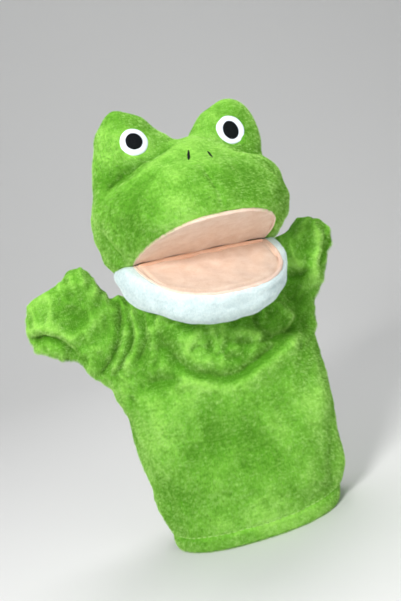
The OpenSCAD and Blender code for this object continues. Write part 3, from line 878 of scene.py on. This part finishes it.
chin_skin = lined("chin_skin", make_chin(), WHITE)
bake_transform(chin_skin)
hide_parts("chin_panel", "throat_panel_left", "throat_panel_right", "thumb_pocket",
            "jaw_wadding", "lower_palate_board")


# ---- mouth
def felt_sheet(rise, side, sag):
    """Felt lining over the lips' outline, sunk in the middle. side is 1 where the plush is above."""
    cols, rows = 72, 30
    half_w, depth = MOUTH_HALF_W - FELT_INSET, MOUTH_DEPTH - FELT_INSET
    s = np.linspace(-1, 1, cols)
    x = half_w * np.sin(s * math.pi / 2)
    reach = depth * np.maximum(1 - np.abs(x / half_w) ** MOUTH_POWER, 0.0004) ** (1 / MOUTH_POWER)
    t = np.linspace(0, 1, rows)[:, None]
    ahead = reach * t
    from_edge = np.minimum(reach * (1 - t), half_w - np.abs(x) + 0 * t)
    wide = np.broadcast_to(x, ahead.shape)
    dip = sag(wide, ahead, from_edge)
    faces = np.array(sheet_faces(rows, cols))
    near, far = (from_head(on_lining(wide, ahead, side * high, rise)).reshape(-1, 3)
                 for high in (dip, dip + FELT_T))
    felt, _ = Shape(near, faces[:, ::-1] if side > 0 else faces).shell(far - near)
    return felt.co, felt.quads


def upper_sag(x, ahead, from_edge):
    plump = smooth(from_edge / 16) * smooth(ahead / 12)
    return 0.15 + 1.1 * plump + 0.25 * waves(np.stack([x, ahead], -1), 20, 31)


def lower_sag(x, ahead, from_edge):
    """Soft cushion with a crease just inside the front lip."""
    crease = np.exp(-((from_edge - 3.4) / 1.1) ** 2) * smooth(ahead / 20)
    plump = smooth(from_edge / 14) * smooth(ahead / 10)
    return 0.3 + 1.3 * crease + 0.5 * plump + 0.3 * waves(np.stack([x, ahead], -1), 18, 32)


def lip_roll(rise, side, radius):
    """Rolled felt edge round a lining."""
    edge = mouth_outline(MOUTH_HALF_W - 0.3, MOUTH_DEPTH - 0.3, 90)
    r = radius * (1 + 0.06 * waves(edge, 9, 33)) * np.interp(edge[:, 1], [0, 10], [0.55, 1])
    line = on_lining(edge[:, 0], edge[:, 1], np.full(len(edge), side * 0.75), rise)
    return tube(from_head(line), r, 12)


def fold_roll():
    """Soft roll of lining along the mouth's fold."""
    x = np.linspace(-MOUTH_HALF_W + 3, MOUTH_HALF_W - 3, 60)
    f = 1.2 + 0.25 * waves(x[:, None], 22, 34)
    line = np.stack([x, f, -1.1 + 0 * x], -1)
    return tube(from_head(line), 1.7 * (1 - 0.55 * (np.abs(x) / MOUTH_HALF_W) ** 4), 12)


def lining_piece(name, rise, side, sag, body, node):
    felt = add_object(name, *felt_sheet(rise, side, sag), PEACH)
    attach(felt, body)
    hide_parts(node)
    roll = add_object(f"{name}_edge", *lip_roll(rise, side, 1.25), PEACH_EDGE_PAINTED_HIGHLIGHT)
    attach(roll, body)


lining_piece("upper_lining", UPPER_RISE, 1, upper_sag, "head", "upper_palate")
lining_piece("lower_lining", -LOWER_FALL, -1, lower_sag, "jaw", "lower_palate")
fold = add_object("lining_fold", *fold_roll(), PEACH_FOLD_PAINTED_HIGHLIGHT)
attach(fold, "jaw")
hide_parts("mouth_fold")

# ---- eyes and nostrils
# Middle (x, u), half width and half height of each eye's white and pupil
EYES = {"right": ((-33, 71.5), (9.3, 8.4), (5.7, 5.2), (-0.3, 0.3)),
        "left": ((32, 70), (9.8, 9.3), (5.6, 6.2), (-0.2, -0.2))}
WHITE_RISE, PUPIL_RISE, RIM_SINK = 0.7, 1.2, 0.5  # heights over the plush, and how far a rim sinks into it


def on_bump(tree, x, u):
    """Place f of the bump's front at head (x, u)."""
    backward = Vector(from_head((0, -1, 0)) - from_head((0, 0, 0)))
    hit = tree.ray_cast(Vector(from_head((x, 60, u))), backward)[0]
    return to_head(np.array(hit))[1]


def eye_surface(tree, middle):
    """Gently curved surface fitted to a bump's front round an eye."""
    rows, places = [], []
    for r in (0, 3, 6, 9, 10.5):
        for a in np.radians(np.arange(0, 360, 30 if r else 360)):
            x, u = r * math.cos(a), r * math.sin(a)
            rows.append((1, x, u, x * x, u * u, x * u))
            places.append(on_bump(tree, middle[0] + x, middle[1] + u))
    fit = np.linalg.lstsq(np.array(rows), np.array(places), rcond=None)[0]
    return lambda x, u: np.stack([np.ones_like(x), x, u, x * x, u * u, x * u], -1) @ fit


def disc(surface, middle, half, shift, height, rings, turns):
    """Embroidered disc whose height is a function of (share of the radius, turn, x, u)."""
    r = np.linspace(0, 1, rings)[1:, None]
    a = (np.arange(turns) * 2 * math.pi / turns)[None]
    wobble = 1 + 0.008 * np.cos(3 * a + 0.7) + 0.006 * np.cos(7 * a)
    x = shift[0] + half[0] * r * np.cos(a) * wobble
    u = shift[1] + half[1] * r * np.sin(a) * wobble
    f = surface(x, u) + height(r + 0 * a, a + 0 * r, x, u)
    co = np.stack([middle[0] + x, f, middle[1] + u], -1).reshape(-1, 3)
    faces = sheet_faces(rings - 1, turns, closed=True)
    top = np.array(shift, float)
    peak = surface(top[0], top[1]) + height(np.zeros(1), np.zeros(1), top[:1], top[1:])[0]
    co = np.concatenate([co, [(middle[0] + top[0], peak, middle[1] + top[1])]])
    faces += [(len(co) - 1, k, (k + 1) % turns) for k in range(turns)]
    return from_head(co), faces


def rounded(r, edge):
    """1 inside a disc, rounded down to 0 over the last share of its radius."""
    return np.sqrt(np.maximum(1 - np.maximum((r - 1 + edge) / edge, 0) ** 2, 0))


def satin(r, a, x, u):
    """Satin stitch: threads that run out from the pupil, rounded over at the rim."""
    threads = 0.13 * np.abs(np.sin(46 * a + 1.5 * np.sin(5 * a))) * smooth((r - 0.35) / 0.2)
    return (WHITE_RISE + threads) * rounded(r, 0.22) - RIM_SINK * (r > 0.995)


def filled(r, a, x, u):
    """Fill stitch: short rows side by side, each row offset from the last."""
    row_w, stitch_len = 0.62, 1.9
    row = np.floor(x / row_w)
    across = np.sqrt(np.abs(np.sin(x / row_w * math.pi)))
    along = 0.55 + 0.45 * np.sqrt(np.abs(np.sin((u / stitch_len + 0.37 * row) * math.pi)))
    stitches_high = PUPIL_RISE - WHITE_RISE + RIM_SINK + 0.26 * across * along
    return WHITE_RISE - RIM_SINK + stitches_high * rounded(r, 0.28)


head_tree = head_shape.tree()
for side, (middle, white_half, pupil_half, shift) in EYES.items():
    surface = eye_surface(head_tree, middle)
    white = add_object(f"eye_white_thread_{side}",
                       *disc(surface, middle, white_half, (0, 0), satin, 26, 368), THREAD_WHITE)
    pupil = add_object(f"pupil_thread_{side}",
                       *disc(surface, middle, pupil_half, shift, filled, 40, 200), THREAD_BLACK)
    for piece, slot, node in ((white, "white_thread", "eye_white"), (pupil, "black_thread", "pupil")):
        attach(piece, "head")
        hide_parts(f"{node}_{side}")


def nostril(start, end, radius, proud):
    """One bar of black thread laid on the muzzle and sunk at both ends."""
    line = []
    for t in np.linspace(0, 1, 12):
        place = from_head(np.array(start) * (1 - t) + np.array(end) * t)
        hit, normal, _, _ = head_tree.find_nearest(Vector(place))
        line.append(np.array(hit) + np.array(normal) * (proud - 3.5 * (t - 0.5) ** 2))
    return tube(line, radius * np.sqrt(np.sin(np.linspace(0.12, math.pi - 0.12, 12))), 10)


for side, radius, proud in (("right", 0.75, 0.45), ("left", 0.55, 0.3)):
    bar = add_object(f"nostril_thread_{side}", *nostril(*NOSTRILS[side], radius, proud), THREAD_BLACK)
    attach(bar, "head")
    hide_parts(f"nostril_{side}")

# ---- pile
SPEED_SHARE = 0.25  # Blender grows a hair four times as long as its starting speed


def pile_material(name, dark, middle, light):
    """Fine fibres: toned as the cloth under them, painted highlight and shade included, streaked where tufts
    lean, and paler at their tips.
    """
    look = Look(name, 0.75, 0.1)

    def layer(layer_name):
        uv = look.node("UVMap", "UV", {}, uv_map=layer_name)
        return [look.node("SeparateXYZ", axis, {"Vector": uv}) for axis in "XY"]

    tone, y = layer("pile_tone")
    x, z = layer("pile_place")
    place = look.node("CombineXYZ", "Vector", {"X": x, "Y": y, "Z": z})
    lean = {"Vector": place, "Rotation": (0, math.radians(-10), 0), "Scale": (0.4, 0.6, 1)}
    tone = look.add_share(look.noise(look.node("Mapping", "Vector", lean), 1.35, 2, 0.6), 2.4, tone)
    tone = look.add_share(look.noise(place, 7, 1), 0.3, tone)
    tone = look.add_share(look.node("HairInfo", "Intercept", {}), 0.2, tone)
    tone = look.add_share(look.node("HairInfo", "Random", {}), 0.12, tone)
    centred = look.add_share(tone, 0.5, -0.505)
    look.colour(centred, [(0.28, dark), (0.47, middle), (0.68, light)])
    return look.material


def bare_on_body(p):
    """The groove of the hem's stitches."""
    return np.abs(p[:, 2] - HEM_SEAM) < 1.2


def under_lining(q, rise, side):
    """Places of the head's cloth that a felt lining covers."""
    ahead, high = above_lining(q, rise)
    return (MOUTH_FLAT(q[:, 0], ahead) < 1.3) & (side * high < LIP_GAP + 1.5) & (side * high > -8)


def bare_on_head(p):
    """Places that the upper lining, the eyes and the nostrils cover."""
    q = to_head(p)
    bare = under_lining(q, UPPER_RISE, 1)
    for middle, half, _, _ in EYES.values():
        off = (q[:, [0, 2]] - middle) / (np.array(half) + 0.3)
        bare |= ((off ** 2).sum(1) < 1) & (q[:, 1] > 0)
    for ends in NOSTRILS.values():
        bare |= (distance_to_line(q[:, [0, 2]], np.array(ends, float)[:, [0, 2]]) < 1.0) & (q[:, 1] > 20)
    return bare


def bare_on_chin(p):
    return under_lining(to_head(p), -LOWER_FALL, -1)


def add_pile(obj, material, per_mm2, length_mm, bare, inner_slot=1):
    """Short pile on the outside of a plush piece, apart from its bare places."""
    mesh = obj.data
    outer = {v for p in mesh.polygons if p.material_index != inner_slot for v in p.vertices}
    co = np.empty(len(mesh.vertices) * 3, np.float32)
    mesh.vertices.foreach_get("co", co)
    hidden = set(np.nonzero(bare(co.reshape(-1, 3) / MM))[0].tolist())
    group = obj.vertex_groups.new(name="pile")
    group.add(sorted(outer - hidden), 1.0, "REPLACE")
    mesh.materials.append(material)
    area = sum(p.area for p in mesh.polygons if p.material_index != inner_slot) / MM ** 2
    modifier = obj.modifiers.new("pile", "PARTICLE_SYSTEM")
    system = modifier.particle_system
    system.seed = len(mesh.vertices) % 1000
    system.vertex_group_density = "pile"
    pile = system.settings
    pile.type = "HAIR"
    pile.count = int(area * per_mm2)
    pile.hair_length = length_mm * MM
    pile.hair_step = 2
    pile.render_step = 2
    pile.use_advanced_hair = True
    pile.object_align_factor = (0, 0, -0.8 * length_mm * MM * SPEED_SHARE)
    pile.factor_random = 0.35 * length_mm * MM * SPEED_SHARE
    pile.root_radius = 1.0
    pile.tip_radius = 0.3
    pile.radius_scale = 0.00009
    pile.material = len(mesh.materials)


GREEN_PILE = pile_material("green_pile", (0.12, 0.32, 0.028), (0.265, 0.55, 0.08), (0.52, 0.80, 0.24))
WHITE_PILE = pile_material("white_pile", (0.60, 0.70, 0.71), (0.73, 0.82, 0.82), (0.86, 0.93, 0.92))
for piece in (body_skin, neck_skin, *arm_skins):
    add_pile(piece, GREEN_PILE, 5.5, 1.1, bare_on_body)
add_pile(head_skin, GREEN_PILE, 5.5, 1.1, bare_on_head)
add_pile(chin_skin, WHITE_PILE, 4.0, 0.8, bare_on_chin)


# ---- studio
FLOOR_DROP = 0.6  # how far the floor lies below zero, clear of the lowest cloth


def make_sweep():
    """Pale floor that curves up behind the object."""
    flat_end, bend, top, half_w = 0.6, 0.9, 4, 4
    profile = [(-2.5, 0), (flat_end, 0)]
    turns = np.radians(np.arange(6, 91, 6))
    profile += [(flat_end + bend * math.sin(a), bend * (1 - math.cos(a))) for a in turns]
    profile += [(flat_end + bend, top)]
    co = np.array([(x, y, z) for y, z in profile for x in (-half_w, half_w)])
    look = Look("studio_floor", 0.9, 0.5)
    look.settle(look.shader, {"Base Color": (0.74, 0.74, 0.73, 1)})
    faces = sheet_faces(len(profile), 2)
    floor = add_object("studio_floor", co / MM - (0, 0, FLOOR_DROP), faces, look.material)


def add_area(name, place, aim, size, watts):
    light = bpy.data.lights.new(name, "AREA")
    light.shape = "DISK"
    light.size = size
    light.energy = watts
    obj = bpy.data.objects.new(name, light)
    bpy.context.scene.collection.objects.link(obj)
    obj.location = place
    obj.rotation_euler = (Vector(aim) - Vector(place)).to_track_quat("-Z", "Y").to_euler()


make_sweep()
add_area("key_light", (-0.42, -0.97, 0.74), (0, 0, 0.16), 0.32, 14)
add_area("fill_light", (0.7, -1.0, 0.30), (0, 0, 0.16), 0.8, 4.2)
add_area("top_light", (0.1, 0.2, 1.2), (0, 0, 0.2), 0.6, 5.5)
bpy.context.scene.view_settings.view_transform = "Standard"
world = bpy.data.worlds.new("studio")
bpy.context.scene.world = world
world.use_nodes = True
background = world.node_tree.nodes["Background"].inputs
background["Color"].default_value = (0.9, 0.92, 0.95, 1)
background["Strength"].default_value = 0.31

# ---- camera
CAMERA_AIM = np.array([5.5, 0, 158.0]) * MM
CAMERA_DISTANCE, LENS_MM, SENSOR_MM = 0.62, 55.7, 36
CAMERA_ELEVATION = math.radians(9)
CAMERA_ROLL = math.radians(17)


def make_camera():
    data = bpy.data.cameras.new("camera")
    data.sensor_width = SENSOR_MM
    data.lens = LENS_MM
    data.clip_start = 0.01
    camera = bpy.data.objects.new("camera", data)
    bpy.context.scene.collection.objects.link(camera)
    ahead = Vector((0, math.cos(CAMERA_ELEVATION), -math.sin(CAMERA_ELEVATION)))
    side = Vector((1, 0, 0))
    rise = side.cross(ahead)
    right = math.cos(CAMERA_ROLL) * side - math.sin(CAMERA_ROLL) * rise
    up = math.sin(CAMERA_ROLL) * side + math.cos(CAMERA_ROLL) * rise
    camera.matrix_world = Matrix.Translation(Vector(CAMERA_AIM) - CAMERA_DISTANCE * ahead) @ Matrix(
        (right, up, -ahead)).transposed().to_4x4()
    bpy.context.scene.camera = camera


make_camera()
